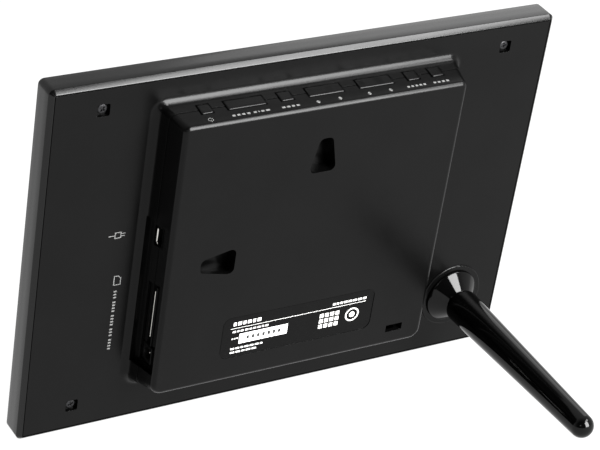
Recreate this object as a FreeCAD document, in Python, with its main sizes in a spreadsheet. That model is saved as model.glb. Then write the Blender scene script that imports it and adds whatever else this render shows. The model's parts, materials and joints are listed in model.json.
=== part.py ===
import FreeCAD
import Part
import math
import os
import re
import Sketcher

# A seven-inch digital photo frame that leans back on a turned, tapered leg.
#
# Every sub-part is drawn in the panel's own frame, lying flat: x runs to the right as seen from
# behind, y runs up the panel from its bottom edge, and z runs out of the back. The plane z = 0 lies
# just inside the bezel's side walls, 7.5 mm behind its front face. At the end every sub-part gets
# the same placement, which leans the panel back until its bottom edge and the leg's tip share a floor.

SIZES = {
    # Panel and bezel
    "width": 200.0,
    "height": 141.0,
    "wall_depth": 7.5,
    "rim_top": 2.6,
    "rim_drop": 1.5,
    "rim_inset": 1.4,
    "panel_corner": 2.2,
    "bezel_wall": 1.7,
    "bezel_front": 2.0,
    "front_round": 0.8,
    "screen_width": 154.6,
    "screen_height": 87.2,
    "screen_bevel": 1.2,
    # Rear cover plate, and the screws at its corners
    "cover_gap": 0.35,
    "cover_face": 2.5,
    "cover_skin": 2.0,
    "screw_reach": 80.0,
    "screw_low": 11.0,
    "screw_high": 131.0,
    "screw_pocket": 4.6,
    "screw_floor": 0.7,
    "screw_seat": -0.6,
    "screw_cap": 0.8,
    "post_radius": 3.0,
    # Housing on the back: a drafted box, split at mid height
    "hump_left": -56.3,
    "hump_right": 55.5,
    "hump_low": 18.9,
    "hump_high": 127.9,
    "hump_face": 16.5,
    "side_draft": 0.25,
    "end_draft": 0.12,
    "split_level": 8.5,
    "split_gap": 0.2,
    "split_ledge": 0.2,
    "low_corner": 4.5,
    "high_corner": 2.5,
    "hump_cove": 3.3,
    "hump_edge": 1.9,
    "cavity_wall": 1.9,
    "recess_wall": 3.4,
    "cap_skin": 1.8,
    "flange": 9.0,
    "cap_post_inset": 7.6,
    "cap_post_high": 113.5,
    # Connector recess in the left wall
    "recess_low": 27.0,
    "recess_high": 87.3,
    "recess_bottom": 3.9,
    "recess_top": 15.1,
    "recess_depth": 1.8,
    "recess_step": 0.5,
    "recess_margin": 1.4,
    # Wall keyholes
    "keyhole_wide": 11.0,
    "keyhole_narrow": 5.0,
    "keyhole_length": 13.6,
    "keyhole_foot": 101.2,
    "keyhole_round": 2.1,
    "keyhole_side_foot": -30.0,
    "keyhole_side_level": 70.6,
    "cup_depth": 5.6,
    "cup_wall": 1.2,
    # Security slot
    "lock_left": 39.7,
    "lock_low": 24.6,
    "lock_length": 7.0,
    "lock_width": 3.0,
    # Keys along the top wall
    "key_level": 8.15,
    "key_height": 4.8,
    "key_gap": 0.25,
    "key_proud": 0.4,
    "key_stem": 3.6,
    "key_flange": 0.8,
    "key_round": 0.35,
    "key_board_depth": 7.5,
    "key_board_thick": 1.2,
    "switch_height": 2.0,
    "switch_side": 4.0,
    "plunger_radius": 0.9,
    "plunger_height": 0.5,
    # Main board and what stands on it
    "board_left": -52.2,
    "board_right": 40.0,
    "board_low": 28.4,
    "board_high": 107.6,
    "board_face": 5.9,
    "board_thick": 1.6,
    # Display module
    "module_width": 164.0,
    "module_height": 100.0,
    "module_front": -5.4,
    "module_back": -0.9,
    "module_sheet": 0.4,
    "glass_thick": 1.3,
    "sheets_thick": 0.6,
    "guide_thick": 1.8,
    "led_room": 2.4,
    # Stand
    "leg_x": 77.7,
    "leg_y": 24.4,
    "ring_radius": 13.0,
    "ring_top": 3.1,
    "ring_round": 0.5,
    "insert_radius": 5.0,
    "insert_low": 0.3,
    "insert_top": 3.2,
    "stud_radius": 2.5,
    "stud_fit": 0.05,
    "stud_low": 0.6,
    "stud_top": 30.0,
    "collar_low": 3.3,
    "collar_lip": 4.1,
    "collar_radius": 10.8,
    "collar_neck": 9.0,
    "neck_radius": 5.4,
    "leg_start": 9.3,
    "shoulder_radius": 6.6,
    "shoulder_level": 11.4,
    "shoulder_round": 1.0,
    "tip_radius": 4.45,
    "tip_centre": 89.5,
    # Label on the housing
    "label_left": -30.7,
    "label_right": 31.7,
    "label_low": 28.8,
    "label_high": 45.8,
    "label_corner": 3.0,
    "label_thick": 0.12,
    "label_sink": 0.25,
    "label_gap": 0.25,
    "serial_left": -23.6,
    "serial_low": 34.1,
    "serial_width": 19.8,
    "serial_height": 4.2,
}

# Keys on the top wall: name, centre and width along x.
PUSH_KEYS = (
    ("power_key", -45.2, 4.7),
    ("view_key", -30.0, 15.0),
    ("menu_key", -14.4, 5.2),
    ("enter_key", 36.5, 5.1),
    ("back_key", 46.5, 5.1),
)
ROCKER_KEYS = (
    ("up_down_key", 1.0, 14.0),
    ("left_right_key", 21.2, 14.0),
)
ROCKER_ARM = 4.0

# Sockets in the recess: name, middle along y, width along y and height above the board.
SOCKETS = (
    ("mini_usb_socket", 80.3, 7.7, 3.9),
    ("card_socket", 48.7, 25.0, 4.9),
    ("dc_jack", 32.5, 7.2, 6.0),
)
SOCKET_GAP = 0.08

doc = FreeCAD.newDocument("photo_frame")
sheet = doc.addObject("Spreadsheet::Sheet", "Sizes")
for row, (alias, number) in enumerate(SIZES.items(), start=1):
    sheet.set(f"A{row}", alias)
    sheet.set(f"B{row}", str(number))
    sheet.setAlias(f"B{row}", alias)
doc.recompute()

NODES = []
WORD = re.compile(r"[a-z][a-z_]*")


def size(alias):
    """A driving dimension, read from the sheet."""
    return float(sheet.get(alias))


def formula(text):
    """Point every dimension named in a formula at its cell."""
    return WORD.sub(lambda word: "Sizes." + word.group() if word.group() in SIZES else word.group(), str(text))


def bind(item, **formulas):
    """Bind properties to formulas; a double underscore in a property's name stands for a dot."""
    for name, text in formulas.items():
        item.setExpression(name.replace("__", "."), formula(text))


def at(item, x, y, z):
    """Bind the corner or centre that an item is placed by."""
    bind(item, Placement__Base__x=x, Placement__Base__y=y, Placement__Base__z=z)


def node(item, label, placement=None):
    """Name a finished sub-part; the placement takes its own drawing frame to the panel's."""
    item.Label = label
    NODES.append((item, placement or FreeCAD.Placement()))
    return item


def new_body(label, placement=None):
    return node(doc.addObject("PartDesign::Body", label), label, placement)


# Features of a body -------------------------------------------------------------------------


def box(body, name, x, y, z, cut=False):
    """A box between the low and high formulas of each axis, added to a body or cut from it."""
    kind = "Subtractive" if cut else "Additive"
    item = body.newObject(f"PartDesign::{kind}Box", name)
    bind(item, Length=f"({x[1]}) - ({x[0]})", Width=f"({y[1]}) - ({y[0]})", Height=f"({z[1]}) - ({z[0]})")
    at(item, x[0], y[0], z[0])
    return item


def cylinder(body, name, radius, x, y, z, cut=False):
    """A cylinder along z between two levels, added to a body or cut from it."""
    kind = "Subtractive" if cut else "Additive"
    item = body.newObject(f"PartDesign::{kind}Cylinder", name)
    bind(item, Radius=radius, Height=f"({z[1]}) - ({z[0]})")
    at(item, x, y, z[0])
    return item


def wedge(body, name, low, high, z, cut=False):
    """A solid between a rectangle at one level and another above it, each (x0, x1, y0, y1)."""
    kind = "Subtractive" if cut else "Additive"
    item = body.newObject(f"PartDesign::{kind}Wedge", name)
    item.Placement = FreeCAD.Placement(FreeCAD.Vector(), FreeCAD.Rotation(FreeCAD.Vector(1, 0, 0), 90))
    # The primitive tapers along its own Y, and is turned so that this axis is the body's z.
    bind(item, Ymin=z[0], Ymax=z[1], Xmin=low[0], Xmax=low[1], X2min=high[0], X2max=high[1])
    bind(item, Zmin=f"-({low[3]})", Zmax=f"-({low[2]})", Z2min=f"-({high[3]})", Z2max=f"-({high[2]})")
    return item


def dress(body, kind, name, pick, **formulas):
    """Fillet or chamfer the edges of the body's tip whose middle point the pick accepts."""
    doc.recompute()
    base = body.Tip
    names = []
    for index, edge in enumerate(base.Shape.Edges, start=1):
        middle = edge.valueAt((edge.FirstParameter + edge.LastParameter) / 2)
        if pick(edge, middle):
            names.append(f"Edge{index}")
    item = body.newObject(f"PartDesign::{kind}", name)
    item.Base = (base, names)
    bind(item, **formulas)
    doc.recompute()
    return item


def origin_plane(body, role):
    return next(item for item in body.Origin.OriginFeatures if item.Role == role)


def outline(body, name, plane, points):
    """A closed sketch of straight lines. A coordinate is 0 or the name of a dimension."""
    sketch = body.newObject("Sketcher::SketchObject", name)
    sketch.AttachmentSupport = [(origin_plane(body, plane), "")]
    sketch.MapMode = "FlatFace"
    places = [FreeCAD.Vector(*(size(value) if value else 0.0 for value in point), 0) for point in points]
    for start, end in zip(places, places[1:] + places[:1]):
        sketch.addGeometry(Part.LineSegment(start, end), False)
    count = len(points)
    for index, point in enumerate(points):
        sketch.addConstraint(Sketcher.Constraint("Coincident", index, 2, (index + 1) % count, 1))
        for value, distance, axis in ((point[0], "DistanceX", -2), (point[1], "DistanceY", -1)):
            if value:
                number = sketch.addConstraint(Sketcher.Constraint(distance, -1, 1, index, 1, size(value)))
                sketch.setExpression(f"Constraints[{number}]", formula(value))
            else:
                sketch.addConstraint(Sketcher.Constraint("PointOnObject", index, 1, axis))
    return sketch


def turned(body, name, points):
    """A solid of revolution about the body's z, from the radius and level of its profile's points."""
    sketch = outline(body, name + "_profile", "XZ_Plane", points)
    item = body.newObject("PartDesign::Revolution", name)
    item.Profile = sketch
    item.ReferenceAxis = (sketch, ["V_Axis"])
    item.Angle = 360.0
    doc.recompute()
    return item


# Groups of separate solids ------------------------------------------------------------------


def loose_box(name, x, y, z):
    item = doc.addObject("Part::Box", name)
    bind(item, Length=f"({x[1]}) - ({x[0]})", Width=f"({y[1]}) - ({y[0]})", Height=f"({z[1]}) - ({z[0]})")
    at(item, x[0], y[0], z[0])
    return item


def loose_cylinder(name, radius, x, y, z):
    item = doc.addObject("Part::Cylinder", name)
    bind(item, Radius=radius, Height=f"({z[1]}) - ({z[0]})")
    at(item, x, y, z[0])
    return item


def joined(name, *pieces):
    item = doc.addObject("Part::MultiFuse", name)
    item.Shapes = list(pieces)
    return item


def group(label, pieces, placement=None):
    """One node that holds separate solids, or a single one."""
    item = doc.addObject("Part::Compound", label)
    item.Links = list(pieces)
    return node(item, label, placement)


def screws(label, places, head_radius, head, shank_radius, shank):
    """Identical pan-head screws along z: head and shank are (low, high) levels."""
    pieces = []
    for index, (x, y) in enumerate(places, start=1):
        name = f"{label}_{index}"
        cap = loose_cylinder(name + "_head", head_radius, x, y, head)
        stem = loose_cylinder(name + "_shank", shank_radius, x, y, shank)
        pieces.append(joined(name, cap, stem))
    return group(label, pieces)


# Shared shapes ------------------------------------------------------------------------------


def hump_section(level, ledge="0"):
    """The housing's outline at a level, as (x0, x1, y0, y1) formulas: its walls lean inwards."""
    side = f"(side_draft * (hump_face - ({level})) + {ledge})"
    end = f"(end_draft * (hump_face - ({level})) + {ledge})"
    return f"hump_left - {side}", f"hump_right + {side}", f"hump_low - {end}", f"hump_high + {end}"


def housing_block(body, name, low, high, ledge="0"):
    """The housing between two levels, with leaning walls and rounded upright corners."""
    wedge(body, name, hump_section(low, ledge), hump_section(high, ledge), (low, high))
    middle = (size("hump_low") + size("hump_high")) / 2
    height = size(high.split()[0]) - size(low)
    for half, radius, above in (("lower", "low_corner", False), ("upper", "high_corner", True)):
        dress(body, "Fillet", f"{name}_{half}_corners",
              lambda edge, mid: abs(edge.BoundBox.ZLength - height) < 0.2 and (mid.y > middle) == above, Radius=radius)


def key_wall():
    """The drawing frame of a key: y points out of the top wall at the keys' level."""
    draft = size("end_draft")
    level = size("key_level")
    face = size("hump_high") + draft * (size("hump_face") - level)
    tilt = FreeCAD.Rotation(FreeCAD.Vector(1, 0, 0), math.degrees(math.atan(draft)))
    return FreeCAD.Placement(FreeCAD.Vector(0, face, level), tilt)


def key_slots(body):
    """Openings through the top wall, one to each key."""
    inward = 9.0
    outward = 2.0
    for name, centre, width in PUSH_KEYS + ROCKER_KEYS:
        slot = body.newObject("PartDesign::SubtractiveBox", name + "_slot")
        bind(slot, Length=f"{width} + 2 * key_gap", Height="key_height + 2 * key_gap")
        slot.Width = inward + outward
        half_height = size("key_height") / 2 + size("key_gap")
        corner = FreeCAD.Vector(centre - width / 2 - size("key_gap"), -inward, -half_height)
        slot.Placement = key_wall().multiply(FreeCAD.Placement(corner, FreeCAD.Rotation()))


def connector_side(body):
    """The recess in the left wall, with the mouths of the three sockets in its floor."""
    wall = "hump_left - side_draft * (hump_face - ({0})) + recess_depth"
    low = ("hump_left - 12", wall.format("recess_bottom"), "recess_low", "recess_high")
    high = ("hump_left - 12", wall.format("recess_top"), "recess_low", "recess_high")
    wedge(body, "connector_recess", low, high, ("recess_bottom", "recess_top"), cut=True)
    inner_y = ("recess_low + recess_margin", "recess_high - recess_margin")
    wedge(body, "connector_floor", (low[0], f"{low[1]} + recess_step") + inner_y,
          (high[0], f"{high[1]} + recess_step") + inner_y, ("recess_bottom + recess_margin", "recess_top - recess_margin"),
          cut=True)
    inside = ("hump_left - 8", "hump_left + 6")
    for name, middle, across, tall in SOCKETS:
        half = across / 2 + SOCKET_GAP
        box(body, name + "_mouth", inside, (f"{middle - half}", f"{middle + half}"),
            (f"board_face - {SOCKET_GAP}", f"board_face + {tall + SOCKET_GAP}"), cut=True)


def corner_places():
    return (("-screw_reach", "screw_low"), ("-screw_reach", "screw_high"), ("screw_reach", "screw_high"))


def bracket_places():
    return [(f"{side} * (module_width / 2 + 5)", y) for side in (-1, 1) for y in ("height / 2 - 34", "height / 2 + 34")]


def cap_post_places():
    left = "hump_left + cap_post_inset"
    right = "hump_right - cap_post_inset"
    low = "hump_low + cap_post_inset - 1.6"
    return ((left, low), (right, low), (left, "cap_post_high"), (right, "cap_post_high"))


def board_post_places():
    return (("board_right - 4", "board_low + 4"), ("board_right - 4", "board_high - 4"),
            ("-14", "board_low + 4"), ("-30", "board_high - 4"))


# Front ---------------------------------------------------------------------------------------


def front_bezel():
    """The moulded front: a picture-frame face, side walls and a sloping rear rim."""
    body = new_body("front_bezel")
    x = ("-width / 2", "width / 2")
    box(body, "bezel_block", x, ("0", "height"), ("-wall_depth", "rim_top"))
    dress(body, "Fillet", "bezel_corners", lambda edge, mid: edge.Vertexes[0].Z != edge.Vertexes[-1].Z,
          Radius="panel_corner")
    top = size("rim_top")
    rim = dress(body, "Chamfer", "rear_rim", lambda edge, mid: abs(mid.z - top) < 1e-6,
                Size="rim_inset", Size2="rim_drop")
    rim.ChamferType = "Two distances"
    doc.recompute()
    inset = (body.Tip.Shape.BoundBox.XLength - max(face.BoundBox.XLength for face in body.Tip.Shape.Faces
                                                   if abs(face.CenterOfMass.z - top) < 1e-6)) / 2
    if abs(inset - size("rim_inset")) > 1e-3:
        rim.FlipDirection = True
        doc.recompute()
    front = -size("wall_depth")
    dress(body, "Fillet", "front_edges", lambda edge, mid: abs(mid.z - front) < 1e-6, Radius="front_round")
    box(body, "inside", ("-width / 2 + bezel_wall", "width / 2 - bezel_wall"),
        ("bezel_wall", "height - bezel_wall"), ("bezel_front - wall_depth", "rim_top + 1"), cut=True)
    box(body, "screen_opening", ("-screen_width / 2", "screen_width / 2"),
        ("(height - screen_height) / 2", "(height + screen_height) / 2"),
        ("-wall_depth - 1", "bezel_front - wall_depth + 1"), cut=True)
    reach = size("screen_width") / 2 + 0.1
    dress(body, "Chamfer", "screen_bevel",
          lambda edge, mid: abs(mid.z - front) < 1e-6 and abs(mid.x) < reach and 20 < mid.y < 121,
          Size="screen_bevel")
    floor = "bezel_front - wall_depth"
    for index, (px, py) in enumerate(corner_places(), start=1):
        cylinder(body, f"screw_post_{index}", "post_radius", px, py, (f"{floor} - 0.5", "screw_seat"))
        cylinder(body, f"screw_pilot_{index}", "1.0", px, py, (floor, "cover_face"), cut=True)
    for index, (px, py) in enumerate(bracket_places(), start=1):
        cylinder(body, f"bracket_post_{index}", "2.6", px, py, (f"{floor} - 0.5", "module_back"))
        cylinder(body, f"bracket_pilot_{index}", "0.9", px, py, (floor, "module_back + 1"), cut=True)


def display_module():
    """The panel: glass, diffuser sheets and light guide stacked in a thin steel tray."""
    x = ("-module_width / 2", "module_width / 2")
    y = ("(height - module_height) / 2", "(height + module_height) / 2")
    inner_x = (f"{x[0]} + module_sheet", f"{x[1]} - module_sheet")
    inner_y = (f"{y[0]} + module_sheet", f"{y[1]} - module_sheet")
    tray = new_body("lcd_frame")
    box(tray, "tray", x, y, ("module_front", "module_back"))
    box(tray, "tray_inside", inner_x, inner_y, ("module_front - 1", "module_back - module_sheet"), cut=True)
    box(tray, "cable_exit", ("-14", "14"), (f"{y[0]} - 1", inner_y[0]), ("module_back - 2.2", "module_back - module_sheet"),
        cut=True)
    glass_back = "module_front + glass_thick"
    sheets_back = f"{glass_back} + sheets_thick"
    clear = 0.1
    stack_x = (f"{inner_x[0]} + {clear}", f"{inner_x[1]} - {clear}")
    stack_y = (f"{inner_y[0]} + {clear}", f"{inner_y[1]} - {clear}")
    group("lcd_glass", [loose_box("glass", stack_x, stack_y, ("module_front", glass_back))])
    group("diffuser_sheets", [loose_box("sheets", stack_x, stack_y, (glass_back, sheets_back))])
    guide_y = (f"{stack_y[0]} + led_room", stack_y[1])
    guide_back = f"{sheets_back} + guide_thick"
    group("light_guide", [loose_box("guide", stack_x, guide_y, (sheets_back, guide_back))])
    led_strip(stack_x, stack_y[0], sheets_back)


def led_strip(x, y_low, z_low):
    """A narrow circuit strip along the guide's bottom edge, with its row of small white LEDs."""
    count = 9
    spacing = 17.5
    strip = loose_box("led_tape", (f"{x[0]} + 2", f"{x[1]} - 2"), (y_low, f"{y_low} + 0.5"), (z_low, f"{z_low} + 1.8"))
    pieces = [strip]
    for index in range(count):
        centre = (index - (count - 1) / 2) * spacing
        pieces.append(loose_box(f"led_{index + 1}", (f"{centre} - 1.9", f"{centre} + 1.9"),
                                (f"{y_low} + 0.5", f"{y_low} + 1.9"), (f"{z_low} + 0.3", f"{z_low} + 1.5")))
    group("led_strip", [joined("led_row", *pieces)])


def lcd_brackets():
    """Two steel strips that hold the module's edges down on the bezel's posts."""
    thick = 0.6
    pieces = []
    for side, name in ((-1, "left"), (1, "right")):
        ends = sorted((side * (size("module_width") / 2 - 4), side * (size("module_width") / 2 + 9)))
        strip = loose_box(f"bracket_{name}", (str(ends[0]), str(ends[1])), ("height / 2 - 40", "height / 2 + 40"),
                          ("module_back", f"module_back + {thick}"))
        holes = [loose_cylinder(f"bracket_{name}_hole_{index}", "0.9", px, py, ("module_back - 1", "module_back + 2"))
                 for index, (px, py) in enumerate(bracket_places(), start=1)]
        cut = doc.addObject("Part::Cut", f"bracket_{name}_cut")
        cut.Base = strip
        cut.Tool = joined(f"bracket_{name}_holes", *holes)
        pieces.append(cut)
    group("lcd_brackets", pieces)
    screws("bracket_screws", bracket_places(), "1.7", (f"module_back + {thick}", f"module_back + {thick + 0.6}"),
           "0.9", ("module_back - 3.4", f"module_back + {thick}"))


# Rear ----------------------------------------------------------------------------------------


def rear_cover():
    """The back plate with the lower half of the housing, its cove and the ring round the stand."""
    body = new_body("rear_cover")
    edge_x = "width / 2 - bezel_wall - cover_gap"
    edge_y = "bezel_wall + cover_gap"
    box(body, "plate", (f"-({edge_x})", edge_x), (edge_y, f"height - ({edge_y})"),
        ("cover_face - cover_skin", "cover_face"))
    split = "split_level - split_gap"
    housing_block(body, "hump_foot", "cover_face", split, "split_ledge")
    face = size("cover_face")
    reach = size("width") / 2 - 10
    dress(body, "Fillet", "hump_cove",
          lambda edge, mid: abs(mid.z - face) < 1e-6 and abs(mid.x) < reach and 10 < mid.y < 135,
          Radius="hump_cove")
    cylinder(body, "stand_ring", "ring_radius", "leg_x", "leg_y", ("cover_face", "ring_top"))
    ring_top = size("ring_top")
    dress(body, "Fillet", "ring_round",
          lambda edge, mid: abs(mid.z - ring_top) < 1e-6 and abs(edge.BoundBox.XLength - 26) < 0.1,
          Radius="ring_round")
    cylinder(body, "insert_seat", "insert_radius", "leg_x", "leg_y", ("0", "ring_top + 1"), cut=True)
    inside_x = ("hump_left + cavity_wall", "hump_right - cavity_wall")
    inside_y = ("hump_low + cavity_wall", "hump_high - cavity_wall")
    box(body, "cavity", inside_x, inside_y, ("cover_face", "split_level + 1"), cut=True)
    box(body, "plate_opening", (f"{inside_x[0]} + flange", f"{inside_x[1]} - flange"),
        (f"{inside_y[0]} + flange", f"{inside_y[1]} - flange"), ("0", "cover_face + 1"), cut=True)
    for index, (px, py) in enumerate(corner_places(), start=1):
        half = "screw_pocket / 2"
        cylinder(body, f"screw_boss_{index}", "post_radius", px, py, ("screw_seat", "cover_face - cover_skin + 0.1"))
        box(body, f"screw_pocket_{index}", (f"{px} - {half}", f"{px} + {half}"), (f"{py} - {half}", f"{py} + {half}"),
            ("screw_floor", "cover_face + 1"), cut=True)
        cylinder(body, f"screw_hole_{index}", "1.2", px, py, ("screw_seat - 1", "cover_face"), cut=True)
    for index, (px, py) in enumerate(cap_post_places(), start=1):
        cylinder(body, f"cap_hole_{index}", "1.2", px, py, ("0", "cover_face + 0.5"), cut=True)
    connector_side(body)
    key_slots(body)
    pocket = size("screw_pocket") / 2
    reach = size("screw_reach")
    dress(body, "Fillet", "pocket_corners",
          lambda edge, mid: abs(edge.Length - size("cover_face") + size("screw_floor")) < 1e-4
          and abs(abs(mid.x) - reach) < pocket + 0.1 and edge.Vertexes[0].Z != edge.Vertexes[-1].Z,
          Radius="0.7")


def housing_cap():
    """The upper half of the housing: walls, back face, wall keyholes and the posts inside."""
    body = new_body("housing_cap")
    housing_block(body, "cap_block", "split_level", "hump_face")
    top = size("hump_face")
    dress(body, "Fillet", "cap_edge", lambda edge, mid: abs(mid.z - top) < 1e-6, Radius="hump_edge")
    box(body, "label_recess", ("label_left - label_gap", "label_right + label_gap"),
        ("label_low - label_gap", "label_high + label_gap"), ("hump_face - label_sink", "hump_face + 1"), cut=True)
    sunk = size("label_sink")
    dress(body, "Fillet", "label_recess_corners", lambda edge, mid: abs(mid.z - top + sunk / 2) < 1e-6
          and abs(edge.Length - sunk) < 1e-6, Radius="label_corner + label_gap")
    ceiling = "hump_face - cap_skin"
    box(body, "cap_cavity", ("hump_left + recess_wall", "hump_right - cavity_wall"),
        ("hump_low + cavity_wall", "hump_high - cavity_wall"), ("split_level - 1", ceiling), cut=True)
    keyhole_cups(body, ceiling)
    for index, (px, py) in enumerate(cap_post_places(), start=1):
        cylinder(body, f"cap_post_{index}", "post_radius", px, py, ("cover_face", f"{ceiling} + 0.3"))
        cylinder(body, f"cap_pilot_{index}", "1.0", px, py, ("cover_face - 1", "cover_face + 7"), cut=True)
    for index, (px, py) in enumerate(board_post_places(), start=1):
        cylinder(body, f"board_post_{index}", "2.4", px, py, ("board_face", f"{ceiling} + 0.3"))
        cylinder(body, f"board_pilot_{index}", "0.9", px, py, ("board_face - 1", "board_face + 4"), cut=True)
    box(body, "lock_slot", ("lock_left", "lock_left + lock_length"), ("lock_low", "lock_low + lock_width"),
        (f"{ceiling} - 1", "hump_face + 1"), cut=True)
    connector_side(body)
    key_slots(body)


def keyhole_cups(body, ceiling):
    """Two tapering keyholes, each over a closed cup: one hangs the frame wide, the other tall."""
    floor = "hump_face - cup_depth"
    half = "keyhole_wide / 2"
    level = "keyhole_side_level"
    wide_x = (f"-({half})", half)
    wide_y = ("keyhole_foot", "keyhole_foot + keyhole_length")
    tall_x = ("keyhole_side_foot - keyhole_length", "keyhole_side_foot")
    tall_y = (f"{level} - {half}", f"{level} + {half}")
    for name, x, y in (("wide", wide_x, wide_y), ("tall", tall_x, tall_y)):
        outer_x = (f"{x[0]} - cup_wall", f"{x[1]} + cup_wall")
        outer_y = (f"{y[0]} - cup_wall", f"{y[1]} + cup_wall")
        box(body, f"{name}_cup", outer_x, outer_y, (f"{floor} - cup_wall", f"{ceiling} + 0.2"))
        box(body, f"{name}_cup_inside", x, y, (floor, ceiling), cut=True)
    through = size("cap_skin") + 2
    for name, turn in (("wide", 0), ("tall", 90)):
        hole = body.newObject("PartDesign::SubtractiveWedge", f"{name}_keyhole")
        spin = FreeCAD.Rotation(FreeCAD.Vector(0, 0, 1), turn)
        hole.Placement = FreeCAD.Placement(FreeCAD.Vector(), spin)
        bind(hole, Xmin=f"-({half})", Xmax=half, X2min="-keyhole_narrow / 2", X2max="keyhole_narrow / 2",
             Ymin="0", Ymax="keyhole_length", Zmin="0", Zmax=through, Z2min="0", Z2max=through)
        if turn:
            at(hole, "keyhole_side_foot", level, f"{ceiling} - 0.5")
        else:
            at(hole, "0", "keyhole_foot", f"{ceiling} - 0.5")
    top = size("hump_face")
    under = top - size("cap_skin")
    near = size("hump_high") - 8
    dress(body, "Fillet", "keyhole_rounds",
          lambda edge, mid: under < mid.z < top and abs(edge.Length - size("cap_skin")) < 1e-4
          and abs(mid.x) < 45 and mid.y < near, Radius="keyhole_round")


def rear_screws():
    """Screws at three corners of the cover, and those that hold the cap from inside."""
    screws("corner_screws", corner_places(), "1.8", ("screw_floor", "screw_floor + screw_cap"),
           "1.0", ("screw_floor - 5.6", "screw_floor"))
    screws("cap_screws", cap_post_places(), "1.9", ("cover_face - cover_skin - 0.8", "cover_face - cover_skin"),
           "1.0", ("cover_face - cover_skin", "cover_face + 5.5"))


def labels():
    """A thin rounded label on the housing, and the narrow sticker on it."""
    body = new_body("rating_label")
    top = "hump_face - label_sink + label_thick"
    box(body, "label_sheet", ("label_left", "label_right"), ("label_low", "label_high"),
        ("hump_face - label_sink", top))
    dress(body, "Fillet", "label_corners", lambda edge, mid: edge.Vertexes[0].Z != edge.Vertexes[-1].Z,
          Radius="label_corner")
    group("serial_label", [loose_box("sticker", ("serial_left", "serial_left + serial_width"),
                                     ("serial_low", "serial_low + serial_height"), (top, f"{top} + 0.08"))])


# Electronics ---------------------------------------------------------------------------------


def main_board():
    """The main circuit board, with its four screws driven up into the cap's posts."""
    body = new_body("main_board")
    under = "board_face - board_thick"
    box(body, "laminate", ("board_left", "board_right"), ("board_low", "board_high"), (under, "board_face"))
    for index, (px, py) in enumerate(board_post_places(), start=1):
        cylinder(body, f"board_hole_{index}", "1.1", px, py, (f"{under} - 1", "board_face + 1"), cut=True)
    screws("board_screws", board_post_places(), "1.8", (f"{under} - 1", under), "0.9", (under, "board_face + 3.4"))


def on_board(name, x, y, height, lift="0"):
    return loose_box(name, x, y, (f"board_face + {lift}", f"board_face + {lift} + {height}"))


def board_parts():
    """Chips, coils, capacitors and the two flex sockets on the main board."""
    group("processor_chip", [on_board("processor", ("-6", "10"), ("62", "78"), "1.4")])
    group("memory_chips", [on_board("memory_1", ("16", "27"), ("58", "76"), "1.1"),
                           on_board("memory_2", ("16", "27"), ("80", "98"), "1.1")])
    group("flash_chip", [on_board("flash", ("-16", "-4"), ("84", "96"), "1.1")])
    group("crystal", [on_board("crystal_can", ("-1", "3.6"), ("54", "57.2"), "1.3")])
    group("power_coils", [on_board(f"coil_{i}", (f"{x}", f"{x} + 7"), ("32", "39"), "3.2")
                          for i, x in enumerate((-2, 8, 18), start=1)])
    cans = [loose_cylinder(f"can_{i}", "3.1", f"{x}", "47.5", ("board_face", "board_face + 5.4"))
            for i, x in enumerate((2, 11, 20), start=1)]
    group("capacitors", cans)
    group("lcd_connector", [on_board("lcd_socket", ("-15", "8"), ("104", "107.4"), "1.3")])
    group("key_connector", [on_board("key_socket", ("14", "24"), ("104", "107.4"), "1.3")])


def socket_block(name, depth):
    """The outer block of a socket, flush with the floor of the recess; returns its body and sizes."""
    middle, across, tall = next(entry[1:] for entry in SOCKETS if entry[0] == name)
    body = new_body(name)
    box(body, name + "_block", ("hump_left + 0.35", f"hump_left + {depth}"),
        (f"{middle - across / 2}", f"{middle + across / 2}"), ("board_face", f"board_face + {tall}"))
    return body, middle, across, tall


def mini_usb_socket():
    """A five-contact receptacle: a folded steel shell round a plastic tongue."""
    shell = 0.35
    body, middle, across, tall = socket_block("mini_usb_socket", 9)
    half = across / 2 - shell
    box(body, "usb_inside", ("hump_left - 1", "hump_left + 8"), (f"{middle - half}", f"{middle + half}"),
        (f"board_face + {shell}", f"board_face + {tall - shell}"), cut=True)
    box(body, "usb_tongue", ("hump_left + 2", "hump_left + 8.5"), (f"{middle} - 2.2", f"{middle} + 2.2"),
        ("board_face + 1.5", "board_face + 2.3"))


def card_socket():
    """The memory card socket: a flat steel shell with one wide slot."""
    card_width = 24.4
    body, middle, across, tall = socket_block("card_socket", 34)
    box(body, "card_slot", ("hump_left - 1", "hump_left + 31"),
        (f"{middle - card_width / 2}", f"{middle + card_width / 2}"), ("board_face + 1.6", "board_face + 4.1"), cut=True)


def dc_jack():
    """The power inlet: a block with a round mouth, and the steel pin in its middle."""
    block, middle, across, tall = socket_block("dc_jack", 10)
    bore_end = 8.5
    pin = new_body("jack_pin")
    turn = FreeCAD.Rotation(FreeCAD.Vector(0, 1, 0), 90)
    for body, kind, radius, start in ((block, "Subtractive", 2.2, -0.5), (pin, "Additive", 0.5, 1.2)):
        item = body.newObject(f"PartDesign::{kind}Cylinder", f"{body.Label}_turning")
        item.Placement = FreeCAD.Placement(FreeCAD.Vector(), turn)
        item.Radius = radius
        item.Height = bore_end - start
        at(item, f"hump_left + {start}", f"{middle}", f"board_face + {tall / 2}")


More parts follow.
